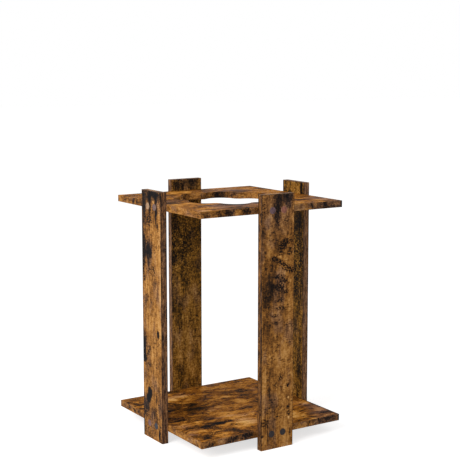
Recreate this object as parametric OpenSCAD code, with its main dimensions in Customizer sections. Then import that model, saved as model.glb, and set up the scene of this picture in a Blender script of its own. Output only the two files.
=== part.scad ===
// Free-standing rod rack. A square base board and a square top board with a scalloped opening are held
// between four upright posts, each centred on one side and screwed into the boards' edges from outside.
// Origin: centre of the footprint, on the floor. +Z up, front post towards -Y.

/* [Posts] */
// Height of the posts, which is the height of the rack
post_h = 600; // [450:1:800]
// Width of each post
post_w = 90; // [70:1:120]
// Thickness of each post
post_t = 16; // [14:0.5:22]

/* [Boards] */
// Side of the square base board and top board, over their edge bands
board_side = 394; // [350:1:460]
// Thickness of the base board
base_t = 16; // [14:0.5:22]
// Thickness of the top board
top_t = 16; // [14:0.5:22]
// Clear height between the floor and the base board
base_clear = 29; // [15:1:80]
// Height that the posts stand above the top board
post_rise = 29; // [15:1:80]

/* [Scalloped opening] */
// Number of rod notches round the opening
notch_count = 8; // [6:1:12]
// Distance across the opening between the bottoms of opposite notches
opening_d = 264; // [252:1:280]
// Distance across the opening between opposite crests
crest_d = 227; // [215:1:238]
// Radius of the rounded crest between two notches
crest_r = 20; // [14:0.5:26]

/* [Edge bands] */
// Thickness of the edge band
band_t = 1; // [0.5:0.1:2]
// Radius rounded along the edge band's outer corners
band_round = 0.4; // [0.2:0.05:0.8]
// Hairline between two strips of edge band that meet
strip_gap = 0.1; // [0.05:0.05:0.3]

/* [Screws] */
// Distance between the two screws of a joint
screw_pitch = 32; // [20:1:50]
// Length of a screw
screw_len = 50; // [35:1:60]
// Diameter of a screw's head
head_d = 10; // [8.5:0.5:12]
// Height of the head's straight rim, above its countersunk cone
head_rim = 1; // [0.5:0.1:1.5]
// Diameter of a screw's plain shank, in the post
shank_d = 7; // [6:0.5:7.5]
// Diameter of a screw's core, in the board
core_d = 5; // [4:0.5:5.5]
// Length of a screw's pointed tip
tip_len = 4; // [2:0.5:6]
// Size of the hexagonal socket, across its flats
socket_af = 4; // [3:0.5:5]
// Depth of the hexagonal socket
socket_depth = 2.8; // [1.5:0.1:3.5]
// Depth of a screw's head below the post's outer face
head_sink = 0.3; // [0.1:0.1:1]
// Play round a screw in its hole, and past its tip
screw_play = 0.1; // [0.05:0.05:0.3]

/* [Screw covers] */
// Diameter of a screw cover
cover_d = 16; // [13:0.5:20]
// Thickness of a screw cover
cover_t = 0.6; // [0.4:0.1:1.5]
// Bevel round a screw cover's rim
cover_bevel = 0.2; // [0.1:0.05:0.35]

/* [Hidden] */

// Sides of the rack, anticlockwise from the front
SIDES = ["front", "right", "back", "left"];

// Smoothness of round shapes
arc_fn = 96;
small_fn = 48;

// Reach past a face of every tool that cuts it
past = 1;
// Overlap of two arcs that meet with a common tangent
arc_lap = 0.002;

// Colours
face_brown = [0.58, 0.40, 0.22];
band_brown = [0.38, 0.28, 0.20];
screw_zinc = [0.72, 0.72, 0.70];
cover_brown = [0.20, 0.15, 0.14];

// Heights of the boards, and of the screws at mid-thickness of each board
base_z = base_clear;
top_z = post_h - post_rise - top_t;
base_screw_z = base_z + base_t / 2;
top_screw_z = top_z + top_t / 2;

// Distance from the centre line to the posts' inner faces, which are the boards' outer edges, and to
// the posts' outer faces
seat_y = board_side / 2;
outer_y = seat_y + post_t;

// Side of a board and width and height of a post without their edge bands
core_side = board_side - 2 * band_t;
post_core_w = post_w - 2 * band_t;
post_core_h = post_h - band_t;
band_corner = min(band_round, 0.45 * band_t);

// Scalloped opening. A notch arc and its neighbouring crest arc touch at one point with a common
// tangent, which settles the notch radius.
notch_step = 360 / notch_count;
crest_centre = crest_d / 2 + crest_r;
notch_reach = opening_d / 2;
crest_cos = crest_centre * cos(notch_step / 2);
notch_r = (pow(notch_reach, 2) + pow(crest_centre, 2) - 2 * notch_reach * crest_cos - pow(crest_r, 2))
    / (2 * (notch_reach + crest_r - crest_cos));
notch_centre = notch_reach - notch_r;

// Depth of a screw's cone, at 45 degrees from the head to the shank
cone_h = (head_d - shank_d) / 2;
// Length of the shank, which ends level with the post's inner face
shank_len = post_t - head_sink - head_rim - cone_h;

// Angle from the front to the named side
function side_angle(side) = [for (i = [0:3]) if (SIDES[i] == side) 90 * i][0];

// Point at a distance and an angle from the centre line
function polar(r, a) = [r * cos(a), r * sin(a)];

// Angle of a crest: the first one is over the middle of the front edge
function crest_angle(i) = -90 + i * notch_step;

// Puts what is drawn on the front side (-Y) on the given side of the rack
module on_side(side) {
    rotate([0, 0, side_angle(side)])
        children();
}

// The two screw places of a joint on the front side, at height z, with local +Z pointing out of the
// post's outer face
module screw_places(z) {
    for (x = [-screw_pitch / 2, screw_pitch / 2])
        translate([x, -outer_y, z])
            rotate([90, 0, 0])
                children();
}

// Outline of the scalloped opening, grown outwards by extra: the star through the centres of all its
// arcs, with a circle added at each notch and one taken away at each crest
module opening_outline(extra) {
    difference() {
        union() {
            polygon([
                for (i = [0:notch_count - 1])
                    each [polar(crest_centre, crest_angle(i)), polar(notch_centre, crest_angle(i + 0.5))]
            ]);
            for (i = [0:notch_count - 1])
                rotate(crest_angle(i + 0.5) + 180)
                    translate([-notch_centre, 0])
                        circle(notch_r + extra, $fn = arc_fn);
        }
        for (i = [0:notch_count - 1])
            rotate(crest_angle(i))
                translate([crest_centre, 0])
                    circle(crest_r - extra + arc_lap, $fn = arc_fn);
    }
}

// Space that a screw needs: a countersunk through hole in the post and a blind pilot hole beyond it
module screw_hole() {
    hole_r = shank_d / 2 + screw_play;
    translate([0, 0, -head_sink - head_rim - cone_h])
        cylinder(h = cone_h, r1 = hole_r, r2 = head_d / 2 + screw_play, $fn = small_fn);
    translate([0, 0, -head_sink - head_rim])
        cylinder(h = head_rim + head_sink + past, r = head_d / 2 + screw_play, $fn = small_fn);
    translate([0, 0, -post_t])
        cylinder(h = post_t, r = hole_r, $fn = small_fn);
    translate([0, 0, -head_sink - screw_len - screw_play])
        cylinder(h = screw_len, r = core_d / 2 + screw_play, $fn = small_fn);
}

// Screw holes of all four joints at height z
module screw_holes(z) {
    for (side = SIDES)
        on_side(side)
            screw_places(z)
                screw_hole();
}

// Square board without its bands, with its underside at height z
module plain_board(z, t) {
    translate([-core_side / 2, -core_side / 2, z])
        cube([core_side, core_side, t]);
}

// Strip of edge band along +X: it lies on z = 0, is wide along +Y, and has its outer face upwards
module band_strip(length, wide) {
    rotate([90, 0, 90])
        linear_extrude(length) {
            square([wide, band_t - band_corner]);
            translate([band_corner, 0])
                square([wide - 2 * band_corner, band_t]);
            for (x = [band_corner, wide - band_corner])
                translate([x, band_t - band_corner])
                    circle(band_corner, $fn = small_fn);
        }
}

// Four strips round a board, each covering the end of the next, drilled for the screws
module board_bands(z, t, screw_z) {
    color(band_brown)
        difference() {
            for (side = SIDES)
                on_side(side)
                    translate([-seat_y, -core_side / 2, z])
                        rotate([90, 0, 0])
                            band_strip(board_side - band_t - strip_gap, t);
            screw_holes(screw_z);
        }
}

// Square board that the rod butts stand on
module base_board() {
    color(face_brown)
        difference() {
            plain_board(base_z, base_t);
            screw_holes(base_screw_z);
        }
}

module base_edge_band() {
    board_bands(base_z, base_t, base_screw_z);
}

// Square board with the scalloped opening that the rods lean in
module top_board() {
    color(face_brown)
        difference() {
            plain_board(top_z, top_t);
            translate([0, 0, top_z - past])
                linear_extrude(top_t + 2 * past)
                    opening_outline(band_t);
            screw_holes(top_screw_z);
        }
}

module top_edge_band() {
    board_bands(top_z, top_t, top_screw_z);
}

// Closed band that follows every notch and crest of the opening
module opening_edge_band() {
    color(band_brown)
        translate([0, 0, top_z])
            linear_extrude(top_t)
                difference() {
                    opening_outline(band_t);
                    opening_outline(0);
                }
}

// Upright plank on one side, drilled for the screws of both boards
module post(side) {
    color(face_brown)
        on_side(side)
            difference() {
                translate([-post_core_w / 2, -outer_y, 0])
                    cube([post_core_w, post_t, post_core_h]);
                for (z = [base_screw_z, top_screw_z])
                    screw_places(z)
                        screw_hole();
            }
}

// Bands on a post's two long edges and on its top end, between them
module post_band(side) {
    color(band_brown)
        on_side(side)
            translate([0, -outer_y, 0]) {
                for (flip = [0, 1])
                    mirror([flip, 0, 0])
                        translate([-post_core_w / 2, 0, 0])
                            rotate([0, -90, 0])
                                band_strip(post_h, post_t);
                translate([strip_gap - post_core_w / 2, 0, post_core_h])
                    band_strip(post_core_w - 2 * strip_gap, post_t);
            }
}

// Countersunk connecting screw with a hexagonal socket, from its head at z = -head_sink downwards
module screw() {
    translate([0, 0, -head_sink])
        difference() {
            union() {
                translate([0, 0, -head_rim])
                    cylinder(h = head_rim, d = head_d, $fn = small_fn);
                translate([0, 0, -head_rim - cone_h])
                    cylinder(h = cone_h, d1 = shank_d, d2 = head_d, $fn = small_fn);
                translate([0, 0, -head_rim - cone_h - shank_len])
                    cylinder(h = shank_len, d = shank_d, $fn = small_fn);
                translate([0, 0, tip_len - screw_len])
                    cylinder(h = screw_len - tip_len - head_rim, d = core_d, $fn = small_fn);
                translate([0, 0, -screw_len])
                    cylinder(h = tip_len, d1 = core_d / 3, d2 = core_d, $fn = small_fn);
            }
            translate([0, 0, -socket_depth])
                cylinder(h = socket_depth + past, d = socket_af / cos(30), $fn = 6);
        }
}

// The two screws of the joint at height z
module screw_pair(side, z) {
    color(screw_zinc)
        on_side(side)
            screw_places(z)
                screw();
}

// The two stick-on covers over the screws at height z, each with a bevelled rim
module cover_pair(side, z) {
    color(cover_brown)
        on_side(side)
            screw_places(z) {
                cylinder(h = cover_t - cover_bevel, d = cover_d, $fn = arc_fn);
                translate([0, 0, cover_t - cover_bevel])
                    cylinder(h = cover_bevel, d1 = cover_d, d2 = cover_d - 2 * cover_bevel, $fn = arc_fn);
            }
}

base_board();
base_edge_band();
top_board();
top_edge_band();
opening_edge_band();
post("front");  // front_post
post("right");  // right_post
post("back");  // back_post
post("left");  // left_post
post_band("front");  // front_post_band
post_band("right");  // right_post_band
post_band("back");  // back_post_band
post_band("left");  // left_post_band
screw_pair("front", base_screw_z);  // front_base_screws
screw_pair("right", base_screw_z);  // right_base_screws
screw_pair("back", base_screw_z);  // back_base_screws
screw_pair("left", base_screw_z);  // left_base_screws
screw_pair("front", top_screw_z);  // front_top_screws
screw_pair("right", top_screw_z);  // right_top_screws
screw_pair("back", top_screw_z);  // back_top_screws
screw_pair("left", top_screw_z);  // left_top_screws
cover_pair("front", base_screw_z);  // front_base_covers
cover_pair("right", base_screw_z);  // right_base_covers
cover_pair("back", base_screw_z);  // back_base_covers
cover_pair("left", base_screw_z);  // left_base_covers
cover_pair("front", top_screw_z);  // front_top_covers
cover_pair("right", top_screw_z);  // right_top_covers
cover_pair("back", top_screw_z);  // back_top_covers
cover_pair("left", top_screw_z);  // left_top_covers
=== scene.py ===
"""Rod rack of printed, melamine-faced board: its finishes, studio and camera.

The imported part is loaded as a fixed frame, in metres, with the floor at z = 0 and the front post on -Y.
Each sub-assembly below dresses its own pieces. A print is laid out in millimetres on the sheet that its
piece is cut from, with the grain along the sheet.
"""

import logging
import math
from dataclasses import dataclass, replace
from enum import Enum, IntEnum
from functools import reduce
from itertools import product

import bpy
from mathutils import Matrix, Vector


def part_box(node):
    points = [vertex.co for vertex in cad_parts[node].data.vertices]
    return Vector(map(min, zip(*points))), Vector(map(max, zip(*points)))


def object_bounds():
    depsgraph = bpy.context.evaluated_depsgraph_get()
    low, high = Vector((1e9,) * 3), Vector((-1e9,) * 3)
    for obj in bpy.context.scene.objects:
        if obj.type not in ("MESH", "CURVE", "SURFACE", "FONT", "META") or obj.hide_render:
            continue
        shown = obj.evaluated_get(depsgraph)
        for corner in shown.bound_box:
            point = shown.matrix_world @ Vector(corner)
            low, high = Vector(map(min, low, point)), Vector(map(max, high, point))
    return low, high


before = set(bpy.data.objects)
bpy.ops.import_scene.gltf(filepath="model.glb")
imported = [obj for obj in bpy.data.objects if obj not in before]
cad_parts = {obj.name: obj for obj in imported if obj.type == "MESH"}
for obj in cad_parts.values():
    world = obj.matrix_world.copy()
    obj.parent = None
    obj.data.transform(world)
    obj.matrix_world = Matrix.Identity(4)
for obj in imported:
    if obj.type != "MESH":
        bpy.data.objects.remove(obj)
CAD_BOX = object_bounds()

Socket = bpy.types.NodeSocket
Numbers = tuple[float, ...]
Input = Socket | float | Numbers
Stops = tuple[tuple[float, Numbers], ...]

MM_PER_M = 1000.0
IN_MM = (MM_PER_M,) * 3
WHITE = (1.0, 1.0, 1.0, 1.0)
HALF = (0.5, 0.5, 0.5)
SEED_SHIFT = (1.0, 1.7, -0.6)
X = Vector((1, 0, 0))
Y = Vector((0, 1, 0))
Z = Vector((0, 0, 1))

log = logging.getLogger("rod_rack")


def srgb(red: float, green: float, blue: float) -> Numbers:
    """Turn a colour as seen on screen into the linear one that a shader takes.

    Args:
        red: Red, 0 to 255.
        green: Green, 0 to 255.
        blue: Blue, 0 to 255.

    Returns:
        Linear red, green, blue and an alpha of 1.
    """

    def linear(channel: float) -> float:
        """Turn one channel, by the sRGB curve."""
        share = channel / 255
        return share / 12.92 if share <= 0.04045 else ((share + 0.055) / 1.055) ** 2.4

    return linear(red), linear(green), linear(blue), 1.0


class Side(Enum):
    """The four sides of the rack, by their turn about the upright axis in degrees."""

    FRONT = 0
    RIGHT = 90
    BACK = 180
    LEFT = 270

    @property
    def label(self) -> str:
        """Name of the side as the frame's nodes spell it."""
        return self.name.lower()

    @property
    def across(self) -> Vector:
        """Direction from left to right along the side, as seen from outside."""
        turn = math.radians(self.value)
        return Vector((math.cos(turn), math.sin(turn), 0))

    @property
    def inward(self) -> Vector:
        """Direction from the side to the middle of the rack."""
        turn = math.radians(self.value)
        return Vector((-math.sin(turn), math.cos(turn), 0))


class Level(Enum):
    """The two boards' levels, by the part of the film that the covers there are punched from."""

    TOP = 3
    BASE = 4

    @property
    def label(self) -> str:
        """Name of the level as the frame's nodes spell it."""
        return self.name.lower()


class Blend(Enum):
    """What a Mix node mixes: Blender's name for it, its two inputs and its output by number."""

    COLOURS = ("RGBA", 6, 7, 2)
    PLACES = ("VECTOR", 4, 5, 1)


class NodeBench:
    """Adds and joins the shader nodes of one material or world.

    Attributes:
        owner: The material or world.
        tree: Its nodes.
    """

    def __init__(self, owner: bpy.types.Material | bpy.types.World) -> None:
        """Clear the nodes of a material or world.

        Args:
            owner: The material or world.
        """
        self.owner = owner
        self.owner.use_nodes = True
        self.tree = owner.node_tree
        self.tree.nodes.clear()

    def feed(self, socket: Socket, value: Input) -> None:
        """Join a socket to another node's output, or set its own value.

        Args:
            socket: The input socket.
            value: The output to join it to, or its value.
        """
        if isinstance(value, bpy.types.NodeSocket):
            self.tree.links.new(value, socket)
        else:
            socket.default_value = value

    def node(self, kind: str, *values: Input, **settings: object) -> bpy.types.Node:
        """Add a node.

        Args:
            kind: Short type, such as TexNoise.
            values: What its first inputs take, in their order.
            settings: Properties to set on it.

        Returns:
            The new node.
        """
        made = self.tree.nodes.new("ShaderNode" + kind)
        for key, value in settings.items():
            setattr(made, key, value)
        for socket, value in zip(made.inputs, values):
            self.feed(socket, value)
        return made

    def position(self) -> Socket:
        """Object coordinates, in metres."""
        return self.node("TexCoord").outputs["Object"]

    def place(
        self,
        vector: Input,
        location: Numbers = (0, 0, 0),
        turn: Numbers = (0, 0, 0),
        scale: Numbers = (1, 1, 1),
        into: bool = False,
    ) -> Socket:
        """Move, turn and scale coordinates or, with into set, give them in a frame that is placed so."""
        kind = "TEXTURE" if into else "POINT"
        return self.node("Mapping", vector, location, turn, scale, vector_type=kind).outputs["Vector"]

    def calc(self, operation: str, *values: Input, clamp: bool = False) -> Socket:
        """Add a Math node on one, two or three values."""
        return self.node("Math", *values, operation=operation, use_clamp=clamp).outputs["Value"]

    def total(self, *values: Input) -> Input:
        """Add up several values."""
        return reduce(lambda one, other: self.calc("ADD", one, other), values)

    def vector(self, operation: str, *values: Input, output: str = "Vector") -> Socket:
        """Add a Vector Math node on one, two or three vectors."""
        return self.node("VectorMath", *values, operation=operation).outputs[output]

    def fade(self, value: Input, start: float, end: float, low: float = 0.0, high: float = 1.0) -> Socket:
        """Ease from low to high while a value runs from start to end."""
        made = self.node("MapRange", value, start, end, low, high, interpolation_type="SMOOTHSTEP")
        return made.outputs["Result"]

    def ramp(self, factor: Input, stops: Stops) -> Socket:
        """Add a colour ramp.

        Args:
            factor: Value that runs along the ramp.
            stops: Pairs of a place from 0 to 1 and a screen colour.

        Returns:
            The colour.
        """
        made = self.node("ValToRGB", factor)
        elements = made.color_ramp.elements
        while len(elements) < len(stops):
            elements.new(1.0)
        for element, (place, colour) in zip(elements, stops):
            element.position = place
            element.color = srgb(*colour)
        return made.outputs["Color"]

    def mix(
        self, factor: Input, first: Input, second: Input, blend: Blend = Blend.COLOURS, mode: str = "MIX"
    ) -> Socket:
        """Mix two colours or places.

        Args:
            factor: Share of the second, 0 to 1.
            first: The first one.
            second: The second one.
            blend: What they are.
            mode: Way of mixing colours, by Blender's name.

        Returns:
            The mixture.
        """
        kind, one, two, result = blend.value
        made = self.node("Mix", factor, data_type=kind, blend_type=mode)
        self.feed(made.inputs[one], first)
        self.feed(made.inputs[two], second)
        return made.outputs[result]

    def bump(self, height: Socket, depth: float, strength: float = 0.5) -> Socket:
        """Add a bump.

        Args:
            height: Height, 0 to 1.
            depth: Real depth of a full step in millimetres.
            strength: Share of the bump that shows.

        Returns:
            The bent normal.
        """
        made = self.node("Bump", strength, depth / MM_PER_M)
        self.feed(made.inputs["Height"], height)
        return made.outputs["Normal"]

    def seen(self) -> Socket:
        """Tell which rays show the white background.

        Returns:
            1 on camera, glossy and transmission rays, and 0 on the rest.
        """
        ray = self.node("LightPath").outputs
        direct = self.calc("ADD", ray["Is Camera Ray"], ray["Is Glossy Ray"])
        return self.calc("ADD", direct, ray["Is Transmission Ray"], clamp=True)

    def finish(self, **inputs: Input) -> bpy.types.Material:
        """End the material in a Principled surface.

        Args:
            inputs: Values by socket name, with spaces written as underscores.

        Returns:
            The finished material.
        """
        surface = self.node("BsdfPrincipled")
        for key, value in inputs.items():
            self.feed(surface.inputs[key.replace("_", " ")], value)
        self.node("OutputMaterial", surface.outputs["BSDF"])
        return self.owner


class Draw(IntEnum):
    """Part of the noise that each layer of a print takes, counted on from the print's own seed."""

    CLOUDS = 0
    THREADS = 1
    PORES = 2
    WARPS = 3
    MOTTLE = 4
    WEAVE = 6
    STAINS = 7
    DASHES = 8
    DASH_PATCHES = 9
    WASH = 11
    FLECKS = 13
    SWIRL = 14


@dataclass(frozen=True)
class Noise:
    """A noise whose features have a size of their own on each axis.

    Attributes:
        size: Size of a feature on each axis, in millimetres.
        detail: Number of finer layers in it.
        rough: Strength of those.
    """

    size: Numbers
    detail: float = 3.0
    rough: float = 0.6

    def read(self, bench: NodeBench, place: Socket, seed: float = 0.0, output: str = "Fac") -> Socket:
        """Add the noise.

        Args:
            bench: Where the nodes go.
            place: Coordinates in millimetres.
            seed: Shift that picks another part of the noise, in features.
            output: Fac for one value, or Color for three.

        Returns:
            The noise, about a half.
        """
        shift = tuple(seed * share for share in SEED_SHIFT)
        scaled = bench.place(place, shift, scale=tuple(1 / part for part in self.size))
        made = bench.node("TexNoise", scaled)
        for key, value in (("Scale", 1.0), ("Detail", self.detail), ("Roughness", self.rough)):
            made.inputs[key].default_value = value
        return made.outputs[output]


@dataclass(frozen=True)
class Layer(Noise):
    """One layer of a print.

    Attributes:
        depth: How far the layer darkens and lightens the print.
    """

    depth: float = 1.0

    def draw(self, bench: NodeBench, place: Socket, seed: float) -> Socket:
        """Noise about zero, times the layer's depth."""
        return bench.calc("MULTIPLY_ADD", self.read(bench, place, seed), self.depth, -self.depth / 2)


@dataclass(frozen=True)
class Patches(Noise):
    """Patches where a noise runs high.

    Attributes:
        detail: Number of finer layers in it.
        start: Noise at which a patch begins.
        end: Noise at which it is full.
    """

    detail: float = 2.0
    start: float = 0.53
    end: float = 0.68

    def draw(
        self, bench: NodeBench, place: Socket, seed: float, low: float = 0.0, high: float = 1.0
    ) -> Socket:
        """Low outside the patches, high inside."""
        return bench.fade(self.read(bench, place, seed), self.start, self.end, low, high)


@dataclass(frozen=True)
class Warp(Noise):
    """A noise that bends coordinates.

    Attributes:
        reach: How far it bends them on each axis, in millimetres.
    """

    reach: Numbers = (0, 0, 0)

    def bend(self, bench: NodeBench, place: Socket, seed: float, start: Socket) -> Socket:
        """Bend the coordinates start by the noise that is read at place."""
        push = bench.vector("SUBTRACT", self.read(bench, place, seed, "Color"), HALF)
        return bench.vector("MULTIPLY_ADD", push, self.reach, start)


class Fray(Enum):
    """How a mark's outline is frayed: by threads along the grain, by rags or by small chips across it."""

    THREADS = Warp((2.6, 6, 30), reach=(7, 0, 52))
    RAGS = Warp((7, 7, 9), reach=(9, 0, 14))
    CHIPS = Warp((4.5, 4, 2.8), reach=(11, 0, 7))


class MarkKind(Enum):
    """Look of a mark: where it fades, in shares of its half size, and how its outline is frayed."""

    STAIN = (0.3, 1.35, Fray.THREADS, 1.0, 0.25)
    SHADE = (0.1, 1.5, Fray.THREADS, 0.6, 0.0)
    KNOT = (0.5, 1.25, Fray.RAGS, 0.6, 0.2)
    CHIP = (0.3, 1.3, Fray.CHIPS, 1.0, 0.9)
    STREAK = (0.3, 1.3, Fray.RAGS, 0.35, 0.3)
    LIGHT = (0.2, 1.4, Fray.THREADS, 0.5, 0.0)

    def __init__(self, inner: float, outer: float, fray: Fray, share: float, grit: float) -> None:
        """Name the parts of the look.

        Args:
            inner: Where the mark starts to fade.
            outer: Where it has faded.
            fray: The noise that bends its outline.
            share: Share of that noise.
            grit: How far small flecks break the mark up, 0 to 1.
        """
        self.inner = inner
        self.outer = outer
        self.fray = fray
        self.share = share
        self.grit = grit


STAIN, SHADE, KNOT, CHIP, STREAK, LIGHT = MarkKind


@dataclass(frozen=True)
class Mark:
    """One dark or light mark in a print, in millimetres on its sheet.

    Attributes:
        across: Place across the grain.
        along: Place along the grain.
        half_width: Half its size across the grain.
        half_length: Half its size along the grain.
        depth: How far it darkens the print, 0 to 1, or lightens it below 0.
        kind: The look of its edge.
        tilt: Turn on the sheet in degrees.
        below: How far under the printed face its middle lies.
    """

    across: float
    along: float
    half_width: float
    half_length: float
    depth: float
    kind: MarkKind = STAIN
    tilt: float = 0.0
    below: float = 0.0


Marks = tuple[Mark, ...]
Edges = tuple[tuple[Side, Marks], ...]


def moved(marks: Marks, along: float = 0.0, below: float = 0.0) -> Marks:
    """Move marks along their sheet and down into it, by millimetres."""
    return tuple(replace(mark, along=mark.along + along, below=mark.below + below) for mark in marks)


@dataclass(frozen=True)
class Sheet:
    """Where a printed sheet lies in the frame.

    Attributes:
        across: Direction across the grain.
        through: Direction through the thickness.
        along: Direction of the grain.
        face: Place of the printed face on the through direction, in metres.
    """

    across: Vector
    through: Vector
    along: Vector
    face: float = 0.0

    def coordinates(self, bench: NodeBench) -> Socket:
        """Lay the sheet's own coordinates, in millimetres: across, through and along."""
        turn = Matrix((self.across, self.through, self.along)).to_euler()
        return bench.place(bench.position(), (0, -self.face * MM_PER_M, 0), tuple(turn), IN_MM)


UPRIGHT_SHEET = Sheet(X, Y, Z)
INK_STOPS = (0.0, 0.22, 0.38, 0.5, 0.6, 0.7, 0.85, 1.0)


@dataclass(frozen=True)
class Palette:
    """Inks of the print as screen colours, one for each of the ink stops from light to dark.

    Attributes:
        warm: The brown inks.
        cool: The greyer inks.
    """

    warm: tuple[Numbers, ...]
    cool: tuple[Numbers, ...]

    def ink(self, bench: NodeBench, dark: Socket, grey: Socket) -> Socket:
        """Colour a print by its darkness and its share of the greyer inks."""
        warm, cool = (bench.ramp(dark, tuple(zip(INK_STOPS, inks))) for inks in (self.warm, self.cool))
        return bench.mix(grey, warm, cool)


@dataclass(frozen=True)
class Figure:
    """Figure of the printed wood, from slow clouds down to pores.

    Attributes:
        clouds: Slow changes of tone.
        mottle: Rags of dark and light.
        threads: Streaks along the grain.
        weave: Faint lines across the grain.
        pores: Fine pores, which also roughen the surface.
        dashes: Short dark dashes across the grain.
        dash_depth: How far they darken the print, where they are thickest.
        wash: Patches of the greyer ink.
        swirl: Slow swirls that bend the clouds, the mottle and the threads.
    """

    clouds: Layer = Layer((36, 9, 80), 5.0, 0.6, 1.0)
    mottle: Layer = Layer((8, 5, 13), 4.0, 0.65, 0.85)
    threads: Layer = Layer((2.3, 5, 60), 3.0, 0.6, 0.8)
    weave: Layer = Layer((11, 5, 1.7), 2.0, 0.6, 0.4)
    pores: Layer = Layer((0.9, 1.5, 10), 2.0, 0.6, 0.35)
    dashes: Patches = Patches((6.5, 5, 2.6))
    dash_depth: float = 0.34
    wash: Patches = Patches((26, 8, 60), rough=0.5, start=0.45, end=0.68)
    swirl: Warp = Warp((54, 20, 60), 2.0, 0.5, reach=(6, 0, 12))


RUSTIC = Palette(
    warm=(
        (232, 182, 118), (205, 150, 84), (172, 117, 56), (134, 87, 40),
        (92, 60, 31), (54, 37, 24), (26, 20, 18), (16, 13, 14),
    ),
    cool=(
        (222, 180, 130), (190, 146, 102), (154, 113, 82), (118, 86, 63),
        (84, 61, 49), (52, 40, 35), (28, 24, 24), (18, 16, 18),
    ),
)

HONEY = Palette(
    warm=(
        (250, 198, 120), (228, 162, 78), (192, 124, 44), (148, 90, 31),
        (98, 61, 25), (56, 38, 22), (26, 20, 17), (15, 12, 13),
    ),
    cool=(
        (214, 168, 132), (184, 138, 106), (150, 108, 84), (116, 82, 65),
        (82, 58, 50), (52, 38, 36), (28, 22, 24), (16, 13, 15),
    ),
)

OLIVE = Palette(
    warm=(
        (222, 176, 100), (192, 140, 70), (157, 110, 43), (122, 84, 31),
        (86, 60, 25), (54, 38, 20), (28, 22, 17), (16, 13, 13),
    ),
    cool=(
        (202, 162, 108), (172, 130, 84), (138, 100, 60), (108, 77, 46),
        (80, 57, 37), (52, 39, 28), (29, 24, 21), (17, 14, 15),
    ),
)

RAGGED = Figure()

CLEAR = replace(
    RAGGED,
    clouds=Layer((36, 9, 80), 5.0, 0.6, 0.8),
    mottle=Layer((8, 5, 13), 4.0, 0.65, 0.65),
    dash_depth=0.3,
)

SOFT = replace(
    CLEAR,
    mottle=Layer((8, 5, 10), 4.0, 0.7, 0.68),
    threads=Layer((2.3, 5, 42), 3.0, 0.6, 0.5),
    weave=Layer((8, 5, 1.7), 2.0, 0.6, 0.46),
)

SPECKLED = replace(
    RAGGED,
    mottle=Layer((5, 5, 8), 4.0, 0.75, 1.05),
    threads=Layer((2.6, 5, 34), 3.0, 0.65, 0.9),
    weave=Layer((7, 5, 2.6), 2.0, 0.6, 0.55),
)

SWIRLED = replace(
    RAGGED,
    clouds=Layer((44, 9, 76), 5.0, 0.62, 1.2),
    mottle=Layer((11, 5, 22), 5.0, 0.68, 0.9),
    threads=Layer((2.6, 5, 40), 3.0, 0.6, 0.65),
    weave=Layer((9, 5, 2.2), 2.0, 0.6, 0.34),
    dash_depth=0.36,
    swirl=replace(RAGGED.swirl, reach=(48, 0, 44)),
)

POST_BAND = replace(
    RAGGED,
    clouds=Layer((16, 4, 50), 3.0, 0.6, 0.5),
    mottle=Layer((6, 4, 9), 4.0, 0.65, 0.7),
    threads=Layer((12, 2.2, 36), 3.0, 0.6, 0.7),
    weave=Layer((9, 4, 2), 2.0, 0.6, 0.2),
    pores=Layer((3, 0.8, 8), 2.0, 0.6, 0.4),
    dashes=Patches((6, 4, 4)),
    dash_depth=0.16,
    wash=replace(RAGGED.wash, size=(20, 6, 40)),
)

BOARD_BAND = replace(
    RAGGED,
    clouds=Layer((40, 40, 18), 5.0, 0.62, 0.75),
    mottle=Layer((10, 10, 6), 5.0, 0.68, 0.65),
    threads=Layer((26, 26, 2.2), 4.0, 0.6, 0.55),
    weave=Layer((3, 3, 4), 2.0, 0.6, 0.3),
    pores=Layer((2.4, 2.4, 0.9), 2.0, 0.6, 0.4),
    dashes=Patches((6, 6, 2.6)),
    dash_depth=0.2,
    wash=replace(RAGGED.wash, size=(24, 24, 24)),
)


@dataclass(frozen=True)
class Lane:
    """Coordinates of a sheet, as the layers of its print take them.

    Attributes:
        bench: Where the nodes go.
        place: The coordinates.
        frayed: The same ones, bent in each way.
    """

    bench: NodeBench
    place: Socket
    frayed: dict[Fray, Socket]

    def depth(self) -> Socket:
        """Distance from the printed face through the thickness, in millimetres."""
        return self.bench.calc("ABSOLUTE", self.bench.node("SeparateXYZ", self.place).outputs["Y"])


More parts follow.
